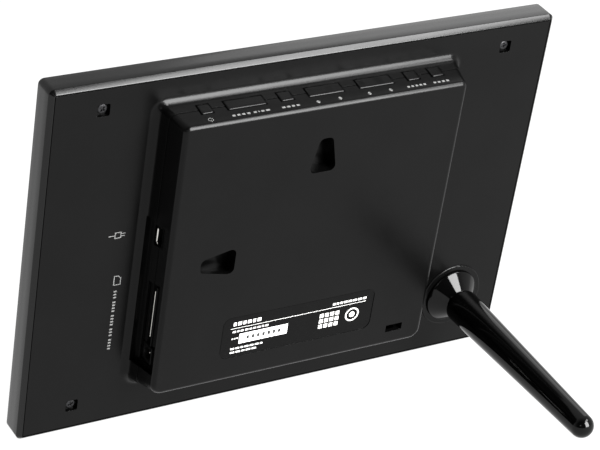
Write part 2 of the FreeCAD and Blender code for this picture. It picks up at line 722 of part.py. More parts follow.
def flex_cable(label, width, centre, points, thick):
    """A flat cable: a strip of constant thickness that follows a path in the y-z plane."""
    path = [FreeCAD.Vector(y, z) for y, z in points]
    rows = []
    for index, point in enumerate(path):
        before = (point - path[index - 1]).normalize() if index else None
        after = (path[index + 1] - point).normalize() if index + 1 < len(path) else None
        heading = (before or after) + (after or before)
        normal = FreeCAD.Vector(-heading.y, heading.x).normalize()
        lean = normal.dot(FreeCAD.Vector(-(after or before).y, (after or before).x))
        rows.append((point, normal * (thick / 2 / lean)))
    ring = [point + offset for point, offset in rows] + [point - offset for point, offset in reversed(rows)]
    start = centre - width / 2
    wire = Part.makePolygon([FreeCAD.Vector(start, p.x, p.y) for p in ring + ring[:1]])
    item = doc.addObject("Part::Feature", label)
    item.Shape = Part.Face(wire).extrude(FreeCAD.Vector(width, 0, 0))
    return node(item, label)


def cables():
    """The display's flat cable, the backlight's pair of wires and the key board's flat cable."""
    face = size("board_face")
    under = face - size("board_thick")
    tray = (size("height") - size("module_height")) / 2
    back = size("module_back")
    flex_cable("lcd_flex", 20.0, -3.5, ((tray + 0.2, back - 1.2), (tray - 2.2, back - 1.2), (tray - 3.2, back - 0.6),
                                        (tray - 3.2, back + 0.2), (tray - 2.2, back + 0.7), (tray + 10, back + 0.7),
                                        (tray + 84, under - 1.6), (tray + 90.6, under - 0.2), (tray + 91.2, face + 0.2),
                                        (tray + 90.6, face + 0.7), (tray + 85.5, face + 0.7)), 0.2)
    flex_cable("key_flex", 8.0, 19.0, ((size("board_high") - 2.4, face + 0.7), (size("board_high") + 3, face + 0.7),
                                       (size("board_high") + 6, face - 0.2), (size("board_high") + 11.6, face - 0.8)), 0.2)
    flex_cable("backlight_cable", 2.4, 30.0, ((tray + 0.9, back + 0.5), (tray + 12, back + 0.5),
                                              (tray + 20, back + 2.4), (tray + 24, under - 0.5),
                                              (tray + 40, under - 0.5)), 0.9)


def key_board():
    """The narrow circuit board behind the top wall, with one or two switches to each key."""
    frame = key_wall()
    body = new_body("key_board", frame)
    face = "-key_board_depth"
    box(body, "key_laminate", ("-50", "50.6"), (f"{face} - key_board_thick", face), ("-4.2", "3.6"))
    pieces = []
    places = [centre for name, centre, width in PUSH_KEYS]
    for name, centre, width in ROCKER_KEYS:
        places.extend((centre - ROCKER_ARM, centre + ROCKER_ARM))
    for index, centre in enumerate(sorted(places), start=1):
        case = loose_box(f"switch_{index}_case", (f"{centre} - switch_side / 2", f"{centre} + switch_side / 2"),
                         (face, f"{face} + switch_height"), ("-switch_side / 2", "switch_side / 2"))
        plunger = doc.addObject("Part::Cylinder", f"switch_{index}_plunger")
        plunger.Placement = FreeCAD.Placement(FreeCAD.Vector(), FreeCAD.Rotation(FreeCAD.Vector(1, 0, 0), -90))
        bind(plunger, Radius="plunger_radius", Height="plunger_height")
        at(plunger, f"{centre}", f"{face} + switch_height", "0")
        pieces.append(joined(f"switch_{index}", case, plunger))
    group("tact_switches", pieces, frame)


def keys():
    """Seven key caps: a stem through the wall, a slightly proud face and a flange inside."""
    frame = key_wall()
    stop = "-key_stem"
    for name, centre, width in PUSH_KEYS + ROCKER_KEYS:
        body = new_body(name, frame)
        x = (f"{centre} - {width} / 2", f"{centre} + {width} / 2")
        z = ("-key_height / 2", "key_height / 2")
        box(body, name + "_stem", x, (stop, "key_proud"), z)
        proud = size("key_proud")
        dress(body, "Fillet", name + "_round", lambda edge, mid: abs(mid.y - proud) < 1e-6, Radius="key_round")
        box(body, name + "_flange", (f"{x[0]} - key_flange", f"{x[1]} + key_flange"), (f"{stop} - 0.8", stop),
            (f"{z[0]} - 0.6", f"{z[1]} + 0.6"))
        if (name, centre, width) in ROCKER_KEYS:
            box(body, name + "_groove", (f"{centre} - 0.3", f"{centre} + 0.3"), ("key_proud - 0.3", "key_proud + 1"),
                (f"{z[0]} - 1", f"{z[1]} + 1"), cut=True)


# Stand ---------------------------------------------------------------------------------------


def stand():
    """The stand: a brass insert in the cover, and a collar, stud and tapered leg that turn in it."""
    frame = FreeCAD.Placement(FreeCAD.Vector(size("leg_x"), size("leg_y"), 0), FreeCAD.Rotation())
    insert = new_body("stand_insert", frame)
    cylinder(insert, "insert_sleeve", "insert_radius", "0", "0", ("insert_low", "insert_top"))
    cylinder(insert, "insert_bore", "stud_radius + stud_fit", "0", "0", ("insert_low - 1", "insert_top + 1"), cut=True)
    stud = new_body("stand_stud", frame)
    cylinder(stud, "stud_rod", "stud_radius", "0", "0", ("stud_low", "stud_top"))
    collar = new_body("stand_collar", frame)
    turned(collar, "collar_cone", (("stud_radius", "collar_low"), ("collar_radius", "collar_low"),
                                   ("collar_radius", "collar_lip"), ("neck_radius", "collar_neck"),
                                   ("neck_radius", "leg_start"), ("stud_radius", "leg_start")))
    neck = size("collar_neck")
    dress(collar, "Fillet", "collar_neck_round", lambda edge, mid: abs(mid.z - neck) < 1e-6
          and edge.Length > 6 * size("neck_radius"), Radius="0.5")
    leg = new_body("stand_leg", frame)
    turned(leg, "leg_taper", ((0, "leg_start"), ("neck_radius", "leg_start"), ("shoulder_radius", "shoulder_level"),
                              ("tip_radius", "tip_centre"), (0, "tip_centre")))
    shoulder = size("shoulder_level")
    dress(leg, "Fillet", "shoulder_round", lambda edge, mid: abs(mid.z - shoulder) < 1e-6 and edge.Length > 20,
          Radius="shoulder_round")
    ball = leg.newObject("PartDesign::AdditiveSphere", "leg_tip")
    bind(ball, Radius="tip_radius")
    at(ball, "0", "0", "tip_centre")
    cylinder(leg, "stud_hole", "stud_radius", "0", "0", ("leg_start - 1", "stud_top"), cut=True)


def standing_placement():
    """Lean the panel back until the heel of its bottom edge and the leg's tip rest on z = 0.

    The heel is the line where the bottom wall meets the sloping rim. The panel's y becomes up and
    its z points back and down by the same angle. The shift puts the origin under the middle of the
    whole object.
    """
    heel = size("rim_top") - size("rim_drop")
    reach = math.hypot(size("leg_y"), size("tip_centre") - heel)
    lean = math.atan2(size("leg_y"), size("tip_centre") - heel) - math.asin(size("tip_radius") / reach)
    sine, cosine = math.sin(lean), math.cos(lean)
    turn = FreeCAD.Rotation(FreeCAD.Vector(-1, 0, 0), FreeCAD.Vector(0, sine, cosine),
                            FreeCAD.Vector(0, cosine, -sine), "ZXY")
    rounding = size("front_round")
    front = rounding * sine - (size("wall_depth") - rounding) * cosine - rounding
    back = size("leg_y") * sine + size("tip_centre") * cosine + size("tip_radius")
    return FreeCAD.Placement(FreeCAD.Vector(0, -(front + back) / 2, heel * sine), turn), lean


def main():
    front_bezel()
    display_module()
    lcd_brackets()
    rear_cover()
    housing_cap()
    rear_screws()
    labels()
    main_board()
    board_parts()
    mini_usb_socket()
    card_socket()
    dc_jack()
    cables()
    key_board()
    keys()
    stand()
    standing, lean = standing_placement()
    for item, placement in NODES:
        item.Placement = standing.multiply(placement)
    doc.recompute()
    for item in doc.Objects:
        if "Invalid" in item.State or "Error" in item.State:
            raise RuntimeError(f"{item.Label} did not recompute: {item.State}")
    os.makedirs("parts", exist_ok=True)
    extent = FreeCAD.BoundBox()
    for item, placement in NODES:
        shape = item.Shape
        if shape.isNull() or not shape.isValid():
            raise RuntimeError(f"{item.Label} is not a valid solid")
        shape.exportStep(f"parts/{item.Label}.step")
        extent.add(shape.BoundBox)
        print(f"{item.Label}: {len(shape.Solids)} solid(s), {shape.Volume:.1f} mm3")
    print(f"{len(NODES)} nodes, leaning back {math.degrees(lean):.3f} degrees, box {extent}")


main()
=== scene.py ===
import bmesh
import bpy
import json
import math
from mathutils import Matrix, Vector


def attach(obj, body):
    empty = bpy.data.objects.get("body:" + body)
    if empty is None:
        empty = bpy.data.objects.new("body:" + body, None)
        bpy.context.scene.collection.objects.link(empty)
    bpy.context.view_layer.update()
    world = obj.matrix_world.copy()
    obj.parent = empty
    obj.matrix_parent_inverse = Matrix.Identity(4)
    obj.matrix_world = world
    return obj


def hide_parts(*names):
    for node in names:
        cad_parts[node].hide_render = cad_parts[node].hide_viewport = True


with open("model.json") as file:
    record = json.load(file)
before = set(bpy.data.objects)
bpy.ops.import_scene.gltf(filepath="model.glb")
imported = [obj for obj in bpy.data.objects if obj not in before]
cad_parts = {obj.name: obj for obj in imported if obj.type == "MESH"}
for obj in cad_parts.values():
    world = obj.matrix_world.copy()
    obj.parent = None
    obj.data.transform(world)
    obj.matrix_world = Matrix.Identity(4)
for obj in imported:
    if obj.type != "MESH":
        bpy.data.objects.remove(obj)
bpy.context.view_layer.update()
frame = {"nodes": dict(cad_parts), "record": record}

MM = 0.001
NODES = frame["nodes"]

# The panel's own frame ----------------------------------------------------------------------------
# x runs to the right as seen from behind, y up the panel from its bottom edge, z out of the back,
# all in millimetres. z = 0 lies 7.5 mm behind the front face. The panel stands on its heel, the line
# where the bottom wall meets the sloping rim.

WIDTH, HEIGHT = 200.0, 141.0
FRONT_FACE = -7.5
COVER_FACE = 2.5
HOUSING_FACE = 16.5
WALL_DRAFT = 0.12
HOUSING_TOP = 127.9
KEY_LEVEL = 8.15
HEEL = 1.1


def mount(name):
    return next(m for m in frame["record"]["mounts"] if m["name"] == name)


def panel_matrix():
    """From the panel's frame in mm to the row frame in metres, read from the housing's flat back."""
    face = mount("wall_face")
    normal = Vector(face["axis"])
    cosine, sine = normal.y, -normal.z
    place = Vector(face["pos_m"])
    lift = HEEL * sine * MM
    shift = (cosine * place.y - sine * (place.z - lift) - HOUSING_FACE * MM) / cosine
    return Matrix(((-MM, 0, 0, 0),
                   (0, sine * MM, cosine * MM, shift),
                   (0, cosine * MM, -sine * MM, lift),
                   (0, 0, 0, 1)))


PANEL = panel_matrix()
LABEL_SUNK = 0.13
STICKER_SUNK = 0.05
LABEL_TOP = Matrix.Translation((0, 0, HOUSING_FACE - LABEL_SUNK))
STICKER_TOP = Matrix.Translation((0, 0, HOUSING_FACE - STICKER_SUNK))
COVER = Matrix.Translation((0, 0, COVER_FACE))


def wall_matrix():
    """The top wall of the housing: x along it, y across it towards the flat back, z out of it."""
    beta = math.atan(WALL_DRAFT)
    foot = HOUSING_TOP + WALL_DRAFT * (HOUSING_FACE - KEY_LEVEL)
    return Matrix(((1, 0, 0, 0), (0, -math.sin(beta), math.cos(beta), foot),
                   (0, math.cos(beta), math.sin(beta), KEY_LEVEL), (0, 0, 0, 1)))


WALL = wall_matrix()

# Materials ------------------------------------------------------------------------------------------


class Surface:
    """A procedural material under construction."""

    def __init__(self, name):
        self.material = bpy.data.materials.new(name)
        self.material.use_nodes = True
        self.tree = self.material.node_tree
        self.shader = self.tree.nodes["Principled BSDF"]
        self.place = self.tree.nodes.new("ShaderNodeTexCoord").outputs["Object"]

    def link(self, source, target):
        self.tree.links.new(source, target)

    def new(self, kind):
        return self.tree.nodes.new("ShaderNode" + kind)

    def noise(self, scale, detail=2.0, stretch=(1, 1, 1)):
        source = self.place
        if stretch != (1, 1, 1):
            mapping = self.new("Mapping")
            mapping.inputs["Scale"].default_value = stretch
            self.link(source, mapping.inputs["Vector"])
            source = mapping.outputs["Vector"]
        item = self.new("TexNoise")
        item.inputs["Scale"].default_value = scale
        item.inputs["Detail"].default_value = detail
        self.link(source, item.inputs["Vector"])
        return item.outputs["Fac"]

    def remap(self, source, low, high, start=0.3, end=0.7):
        item = self.new("MapRange")
        for name, value in (("From Min", start), ("From Max", end), ("To Min", low), ("To Max", high)):
            item.inputs[name].default_value = value
        self.link(source, item.inputs["Value"])
        return item.outputs["Result"]

    def blend(self, source, first, second, start=0.3, end=0.7):
        ramp = self.new("ValToRGB")
        ramp.color_ramp.elements[0].position = start
        ramp.color_ramp.elements[0].color = (*first, 1)
        ramp.color_ramp.elements[1].position = end
        ramp.color_ramp.elements[1].color = (*second, 1)
        self.link(source, ramp.inputs["Fac"])
        return ramp.outputs["Color"]

    def colour(self, source):
        self.link(source, self.shader.inputs["Base Color"])

    def rough(self, source):
        self.link(source, self.shader.inputs["Roughness"])

    def bump(self, *layers):
        """Relief layers as (height source, depth in metres), one on top of the other."""
        before = None
        for source, depth in layers:
            item = self.new("Bump")
            item.inputs["Strength"].default_value = 1.0
            item.inputs["Distance"].default_value = depth
            self.link(source, item.inputs["Height"])
            if before:
                self.link(before, item.inputs["Normal"])
            before = item.outputs["Normal"]
        self.link(before, self.shader.inputs["Normal"])

    def put(self, **values):
        for name, value in values.items():
            self.shader.inputs[name.replace("_", " ")].default_value = value
        return self


def plastic(name, tone, rough, grain, depth, specular=0.5, vary=0.2):
    """Moulded plastic: a fine grain, and slow drifts of tone and sheen."""
    surface = Surface(name)
    drift = surface.noise(45.0, 3.0)
    fine = surface.noise(grain, 2.0)
    dark = (tone * (1 - vary),) * 3
    light = (tone * (1 + vary),) * 3
    surface.colour(surface.blend(drift, dark, light))
    surface.rough(surface.remap(surface.noise(70.0, 4.0), rough * 0.9, rough * 1.12))
    surface.bump((fine, depth))
    surface.put(Specular_IOR_Level=specular)
    return surface.material


def metal(name, colour, rough, stretch=(1, 1, 1), scale=2500.0, depth=2e-6, vary=0.12):
    """Metal with drawn or rolled grain, and blotches of duller tone."""
    surface = Surface(name)
    grain = surface.noise(scale, 3.0, stretch)
    blotch = surface.noise(140.0, 4.0)
    dull = tuple(c * (1 - vary) for c in colour)
    surface.colour(surface.blend(blotch, dull, colour))
    surface.rough(surface.remap(grain, rough * 0.8, rough * 1.3))
    surface.bump((grain, depth))
    surface.put(Metallic=1.0)
    return surface.material


def coated(name, first, second, rough, scale, depth=1e-6, **values):
    """Any other finish of two close tones that a noise blends, such as film, paper or ceramic."""
    surface = Surface(name)
    surface.colour(surface.blend(surface.noise(scale, 4.0), first, second))
    surface.rough(surface.remap(surface.noise(scale * 2.3, 3.0), rough * 0.85, rough * 1.15))
    surface.bump((surface.noise(scale * 8, 3.0), depth))
    return surface.put(**values).material


def board_green():
    """A circuit board: solder mask with copper tracks that show through in a lighter green."""
    surface = Surface("board_green")
    mapping = surface.new("Mapping")
    mapping.inputs["Scale"].default_value = (260.0, 260.0, 260.0)
    surface.link(surface.place, mapping.inputs["Vector"])
    tracks = surface.new("TexBrick")
    surface.link(mapping.outputs["Vector"], tracks.inputs["Vector"])
    tracks.inputs["Scale"].default_value = 2.0
    tracks.inputs["Mortar Size"].default_value = 0.03
    tracks.inputs["Color1"].default_value = (0.012, 0.1, 0.035, 1)
    tracks.inputs["Color2"].default_value = (0.01, 0.085, 0.03, 1)
    tracks.inputs["Mortar"].default_value = (0.03, 0.2, 0.08, 1)
    surface.colour(tracks.outputs["Color"])
    surface.rough(surface.remap(surface.noise(300.0), 0.3, 0.42))
    surface.bump((tracks.outputs["Fac"], 2e-5))
    return surface.material


def make_finishes():
    return {
        "housing": plastic("housing_black", 0.0011, 0.24, 5200.0, 8e-6, specular=0.14),
        "bezel": plastic("bezel_black", 0.0013, 0.19, 3800.0, 4e-6, specular=0.3),
        "keys": plastic("key_black", 0.0013, 0.24, 5200.0, 7e-6, specular=0.16),
        "stand": plastic("stand_black", 0.0007, 0.08, 900.0, 5e-7, specular=0.2, vary=0.1),
        "jack": plastic("jack_black", 0.003, 0.38, 3000.0, 8e-6, specular=0.15),
        "epoxy": plastic("chip_epoxy", 0.02, 0.55, 2600.0, 1.4e-5),
        "switches": plastic("switch_black", 0.03, 0.5, 2600.0, 1e-5),
        "screw": metal("blackened_steel", (0.05, 0.05, 0.052), 0.42, scale=1800.0, depth=4e-6),
        "steel": metal("rolled_steel", (0.62, 0.62, 0.6), 0.28, stretch=(1, 6, 1)),
        "zinc": metal("zinc_plate", (0.56, 0.57, 0.58), 0.3),
        "nickel": metal("nickel_plate", (0.72, 0.7, 0.66), 0.24, stretch=(1, 5, 1)),
        "gold": metal("contact_gold", (0.85, 0.62, 0.25), 0.22),
        "brass": metal("turned_brass", (0.72, 0.53, 0.24), 0.26, stretch=(1, 1, 8)),
        "can": metal("can_aluminium", (0.75, 0.75, 0.76), 0.3, stretch=(1, 1, 6)),
        "ferrite": coated("ferrite", (0.045, 0.044, 0.046), (0.07, 0.068, 0.07), 0.6, 500.0, 2e-5),
        "ivory": coated("ivory_nylon", (0.7, 0.66, 0.53), (0.78, 0.74, 0.62), 0.45, 400.0, 6e-6),
        "film": coated("amber_film", (0.42, 0.2, 0.03), (0.55, 0.29, 0.05), 0.3, 300.0, 3e-6),
        "wire": coated("white_vinyl", (0.74, 0.74, 0.72), (0.84, 0.84, 0.82), 0.4, 400.0, 3e-6),
        "diffuser": coated("milky_film", (0.8, 0.8, 0.79), (0.88, 0.88, 0.87), 0.5, 300.0, 3e-6),
        "acrylic": coated("clear_acrylic", (0.8, 0.84, 0.85), (0.86, 0.9, 0.9), 0.12, 200.0, 1e-6),
        "led_tape": coated("led_tape", (0.82, 0.8, 0.62), (0.9, 0.88, 0.75), 0.4, 500.0, 4e-6),
        "label": coated("label_film", (0.0009, 0.0009, 0.0009), (0.0012, 0.0012, 0.0012), 0.26, 240.0, 2e-6,
                        Specular_IOR_Level=0.11),
        "paper": coated("sticker_paper", (0.78, 0.78, 0.76), (0.86, 0.86, 0.85), 0.55, 500.0, 4e-6),
        "ink": coated("pale_ink", (0.14, 0.14, 0.137), (0.18, 0.18, 0.177), 0.6, 900.0, 6e-6),
        "label_ink": coated("label_ink", (0.62, 0.62, 0.6), (0.74, 0.74, 0.72), 0.55, 900.0, 4e-6),
        "black_ink": coated("black_ink", (0.012, 0.012, 0.012), (0.02, 0.02, 0.02), 0.5, 900.0, 4e-6),
        "board": board_green(),
        "glass": screen_glass(),
    }


def screen_glass():
    """The switched-off display: dark polariser under glass, with a faint pattern of cells."""
    surface = Surface("screen_glass")
    mapping = surface.new("Mapping")
    mapping.inputs["Scale"].default_value = (5200.0, 1.0, 5200.0)
    surface.link(surface.place, mapping.inputs["Vector"])
    cells = surface.new("TexChecker")
    cells.inputs["Scale"].default_value = 1.0
    cells.inputs["Color1"].default_value = (0.010, 0.0105, 0.0125, 1)
    cells.inputs["Color2"].default_value = (0.014, 0.0145, 0.017, 1)
    surface.link(mapping.outputs["Vector"], cells.inputs["Vector"])
    surface.colour(cells.outputs["Color"])
    surface.rough(surface.remap(surface.noise(30.0, 4.0), 0.16, 0.24))
    surface.put(Coat_Weight=1.0, Coat_Roughness=0.12, Coat_IOR=1.5)
    return surface.material


FINISH = make_finishes()

# Mesh tools -----------------------------------------------------------------------------------------


WELD_DISTANCE = 1e-4


def piece(name, mesh, finish, body="frame", stands_for=(), smooth=40.0, plane=None):
    """A finished mesh, drawn in the panel's frame or on a plane in it, becomes a piece of the object."""
    matrix = PANEL @ plane if plane else PANEL
    bmesh.ops.remove_doubles(mesh, verts=mesh.verts, dist=WELD_DISTANCE)
    bmesh.ops.transform(mesh, matrix=matrix, verts=mesh.verts)
    bmesh.ops.recalc_face_normals(mesh, faces=mesh.faces)
    for face in mesh.faces:
        face.smooth = True
    for edge in mesh.edges:
        if len(edge.link_faces) == 2 and edge.calc_face_angle(0.0) > math.radians(smooth):
            edge.smooth = False
    data = bpy.data.meshes.new(name)
    mesh.to_mesh(data)
    mesh.free()
    data.materials.append(FINISH[finish])
    obj = bpy.data.objects.new(name, data)
    bpy.context.collection.objects.link(obj)
    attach(obj, body)
    if stands_for:
        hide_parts(*stands_for)
    return obj


def loop(mesh, x, y, z, radius, steps=8):
    """Corners of a rounded rectangle between x and y limits, as mesh vertices at one level."""
    verts = []
    for cx, cy, start in ((x[1], y[1], 0), (x[0], y[1], 90), (x[0], y[0], 180), (x[1], y[0], 270)):
        sx = 1 if start in (0, 270) else -1
        sy = 1 if start in (0, 90) else -1
        for step in range(steps + 1):
            angle = math.radians(start + 90 * step / steps)
            px = cx - sx * radius + radius * math.cos(angle)
            py = cy - sy * radius + radius * math.sin(angle)
            verts.append(mesh.verts.new((px, py, z)))
    return verts


def skin(mesh, loops, closed=False, caps=()):
    """Faces between each loop of vertices and the next, and over the ends named in caps."""
    pairs = list(zip(loops, loops[1:]))
    if closed:
        pairs.append((loops[-1], loops[0]))
    for first, second in pairs:
        count = len(first)
        for index in range(count):
            after = (index + 1) % count
            mesh.faces.new((first[index], first[after], second[after], second[index]))
    for end in caps:
        mesh.faces.new(loops[end])


def arc(cx, cy, radius, start, end, steps):
    """Points on an arc in degrees, ends included."""
    for step in range(steps + 1):
        angle = math.radians(start + (end - start) * step / steps)
        yield cx + radius * math.cos(angle), cy + radius * math.sin(angle)


def circle(mesh, centre, radius, level, segments):
    """A ring of vertices about a centre, at one level."""
    turns = [2 * math.pi * step / segments for step in range(segments)]
    return [mesh.verts.new((centre[0] + radius * math.cos(turn), centre[1] + radius * math.sin(turn), level))
            for turn in turns]


def lathe(mesh, profile, centre, segments=96):
    """A surface turned about the panel's z from (radius, level) points; a zero radius closes it."""
    rings = []
    for radius, level in profile:
        if radius:
            rings.append(circle(mesh, centre, radius, level, segments))
        else:
            rings.append([mesh.verts.new((*centre, level))])
    for first, second in zip(rings, rings[1:]):
        for i in range(segments):
            j = (i + 1) % segments
            corners = [first[i % len(first)], first[j % len(first)],
                       second[j % len(second)], second[i % len(second)]]
            mesh.faces.new(list(dict.fromkeys(corners)))


def block(mesh, x, y, z, radius, steps=3):
    """A closed block with rounded upright edges."""
    skin(mesh, [loop(mesh, x, y, level, radius, steps) for level in z], caps=(0, -1))


class Print:
    """Flat marks of a given thickness, gathered into one mesh on a plane."""

    ROOT = -0.02

    def __init__(self, thick):
        self.mesh = bmesh.new()
        self.thick = thick

    def area(self, points):
        """A filled outline."""
        low = [self.mesh.verts.new((x, y, self.ROOT)) for x, y in points]
        high = [self.mesh.verts.new((x, y, self.thick)) for x, y in points]
        skin(self.mesh, [low, high], caps=(0, -1))

    def bar(self, x0, y0, x1, y1):
        self.area(((x0, y0), (x1, y0), (x1, y1), (x0, y1)))

    def line(self, points, width, closed=False, lean=0.0):
        """A line of constant width with mitred corners; lean raises its left side."""
        places = [Vector(point) for point in points]
        count = len(places)
        sides = []
        for index, place in enumerate(places):
            before = place - places[index - 1] if index or closed else None
            after = places[(index + 1) % count] - place if index + 1 < count or closed else None
            before = (before or after).normalized()
            after = (after or before).normalized()
            normal = Vector((-(before + after).y, (before + after).x)).normalized()
            reach = width / 2 / max(0.4, normal.dot(Vector((-after.y, after.x))))
            sides.append((place + normal * reach, place - normal * reach))
        rows = []
        for left, right in sides:
            corners = ((left, self.ROOT), (right, self.ROOT), (right, self.thick), (left, self.thick + lean))
            rows.append([self.mesh.verts.new((p.x, p.y, height)) for p, height in corners])
        skin(self.mesh, rows, closed=closed, caps=() if closed else (0, -1))

    def ring(self, cx, cy, radius, width, start=0.0, end=360.0, steps=24):
        whole = abs(end - start) >= 360
        points = list(arc(cx, cy, radius, start, end, steps))
        self.line(points[:-1] if whole else points, width, closed=whole)

    def word(self, x0, x1, y, tall, widths, gap):
        """A stand-in for a word: plain blocks of differing width that fill the span."""
        total = sum(widths)
        unit = (x1 - x0 - gap * (len(widths) - 1)) / total
        x = x0
        for width in widths:
            self.bar(x, y - tall / 2, x + width * unit, y + tall / 2)
            x += width * unit + gap


# The camera and the studio --------------------------------------------------------------------------


CAMERA_PLACE = (0.42456, 0.67569, 0.38579)
CAMERA_AIM = (-0.00392, -0.02678, 0.06821)
CAMERA_ROLL = 1.5023
FOCAL_LENGTH = 148.97
SENSOR_WIDTH = 36.0

# Each softbox: where it is, where it aims, its two sizes in metres, and its power in watts.
SOFTBOXES = {
    "right_softbox": ((-0.36, 0.82, 0.42), (0, 0, 0.07), (0.52, 0.66), 37),
    "top_softbox": ((-0.52, 0.56, 0.86), (0, 0, 0.12), (0.75, 0.24), 9.5),
    "back_softbox": ((-0.75, -0.62, 0.75), (0, 0, 0.1), (0.6, 0.5), 1.4),
    "left_softbox": ((0.85, 0.9, 0.55), (0, 0, 0.07), (0.16, 0.2), 0.6),
}
# The surround fades from white to dark as its direction nears the camera's.
CAMERA_SIDE = (0.485, 0.797, 0.355)
SURROUND_STRENGTH = 0.8
FLOOR_HALF_SIZE = 3.0


def place_camera():
    """A long lens, high behind the frame's socket side."""
    data = bpy.data.cameras.new("camera")
    data.sensor_width = SENSOR_WIDTH
    data.lens = FOCAL_LENGTH
    data.clip_start = 0.05
    data.clip_end = 20.0
    place = Vector(CAMERA_PLACE)
    aim = Vector(CAMERA_AIM)
    obj = bpy.data.objects.new("camera", data)
    bpy.context.collection.objects.link(obj)
    turn = (aim - place).to_track_quat("-Z", "Y").to_matrix().to_4x4()
    obj.matrix_world = Matrix.Translation(place) @ turn @ Matrix.Rotation(math.radians(CAMERA_ROLL), 4, "Z")
    bpy.context.scene.camera = obj


def area_light(name, place, aim, size, power):
    data = bpy.data.lights.new(name, "AREA")
    data.shape = "RECTANGLE"
    data.size, data.size_y = size
    data.energy = power
    obj = bpy.data.objects.new(name, data)
    bpy.context.collection.objects.link(obj)
    place = Vector(place)
    turn = (Vector(aim) - place).to_track_quat("-Z", "Y").to_matrix().to_4x4()
    obj.matrix_world = Matrix.Translation(place) @ turn


def white_floor():
    mesh = bmesh.new()
    bmesh.ops.create_grid(mesh, x_segments=1, y_segments=1, size=FLOOR_HALF_SIZE)
    data = bpy.data.meshes.new("floor")
    mesh.to_mesh(data)
    mesh.free()
    surface = Surface("floor_white")
    surface.colour(surface.blend(surface.noise(6.0), (0.05, 0.05, 0.05), (0.06, 0.06, 0.06)))
    surface.put(Roughness=0.9, Specular_IOR_Level=0.1, Emission_Color=(1, 1, 1, 1), Emission_Strength=1.0)
    data.materials.append(surface.material)
    floor = bpy.data.objects.new("floor", data)
    bpy.context.collection.objects.link(floor)


def surround():
    """A white world, darker on the side of the camera."""
    world = bpy.data.worlds.new("studio")
    bpy.context.scene.world = world
    world.use_nodes = True
    tree = world.node_tree
    back = tree.nodes["Background"]
    back.inputs["Strength"].default_value = SURROUND_STRENGTH
    coord = tree.nodes.new("ShaderNodeTexCoord")
    dot = tree.nodes.new("ShaderNodeVectorMath")
    dot.operation = "DOT_PRODUCT"
    dot.inputs[1].default_value = Vector(CAMERA_SIDE).normalized()
    tree.links.new(coord.outputs["Generated"], dot.inputs[0])
    ramp = tree.nodes.new("ShaderNodeValToRGB")
    ramp.color_ramp.elements[0].position = 0.15
    ramp.color_ramp.elements[0].color = (1.0, 1.0, 1.0, 1)
    ramp.color_ramp.elements[1].position = 0.75
    ramp.color_ramp.elements[1].color = (0.03, 0.03, 0.03, 1)
    tree.links.new(dot.outputs["Value"], ramp.inputs["Fac"])
    tree.links.new(ramp.outputs["Color"], back.inputs["Color"])


def studio():
    """The floor, the surround and the four softboxes."""
    white_floor()
    surround()
    for name, values in SOFTBOXES.items():
        area_light(name, *values)
    bpy.context.scene.view_settings.view_transform = "Standard"


# Bezel ----------------------------------------------------------------------------------------------


def bezel():
    """The moulded front: front face with its screen opening, side walls and the sloping rear rim."""
    screen_x, screen_y = (-77.3, 77.3), (26.9, 114.1)
    corner = 2.2
    profile = [(1.7, 2.6), (1.48, 2.6), (1.37, 2.565), (1.29, 2.48)]
    profile += [(0.1, 1.21), (0.03, 1.11), (0.0, 1.0)]
    profile += [(0.0, -2.2), (0.0, -4.5)]
    front_round = 0.8
    for angle in range(0, 91, 15):
        across = front_round * math.cos(math.radians(angle))
        down = front_round * math.sin(math.radians(angle))
        profile.append((front_round - across, FRONT_FACE + front_round - down))
    mesh = bmesh.new()
    loops = []
    half = WIDTH / 2
    for inset, level in profile:
        loops.append(loop(mesh, (inset - half, half - inset), (inset, HEIGHT - inset), level,
                          max(corner - inset, 0.25)))
    # Front face, the bevel round the screen, and back along the inside.
    ledge = -5.5
    opening = ((4.0, FRONT_FACE), (1.55, FRONT_FACE), (1.3, -7.45), (1.1, -7.3), (0.1, -6.35), (0.0, -6.2),
               (0.0, ledge))
    for grow, level in opening:
        x = (screen_x[0] - grow, screen_x[1] + grow)
        y = (screen_y[0] - grow, screen_y[1] + grow)
        loops.append(loop(mesh, x, y, level, 0.4 + grow * 0.5))
    wall = 1.7
    loops.append(loop(mesh, (wall - half, half - wall), (wall, HEIGHT - wall), ledge, 0.5))
    skin(mesh, loops, closed=True)
    piece("bezel_shell", mesh, "bezel", stands_for=("front_bezel",), smooth=30)


# Rear screws ----------------------------------------------------------------------------------------


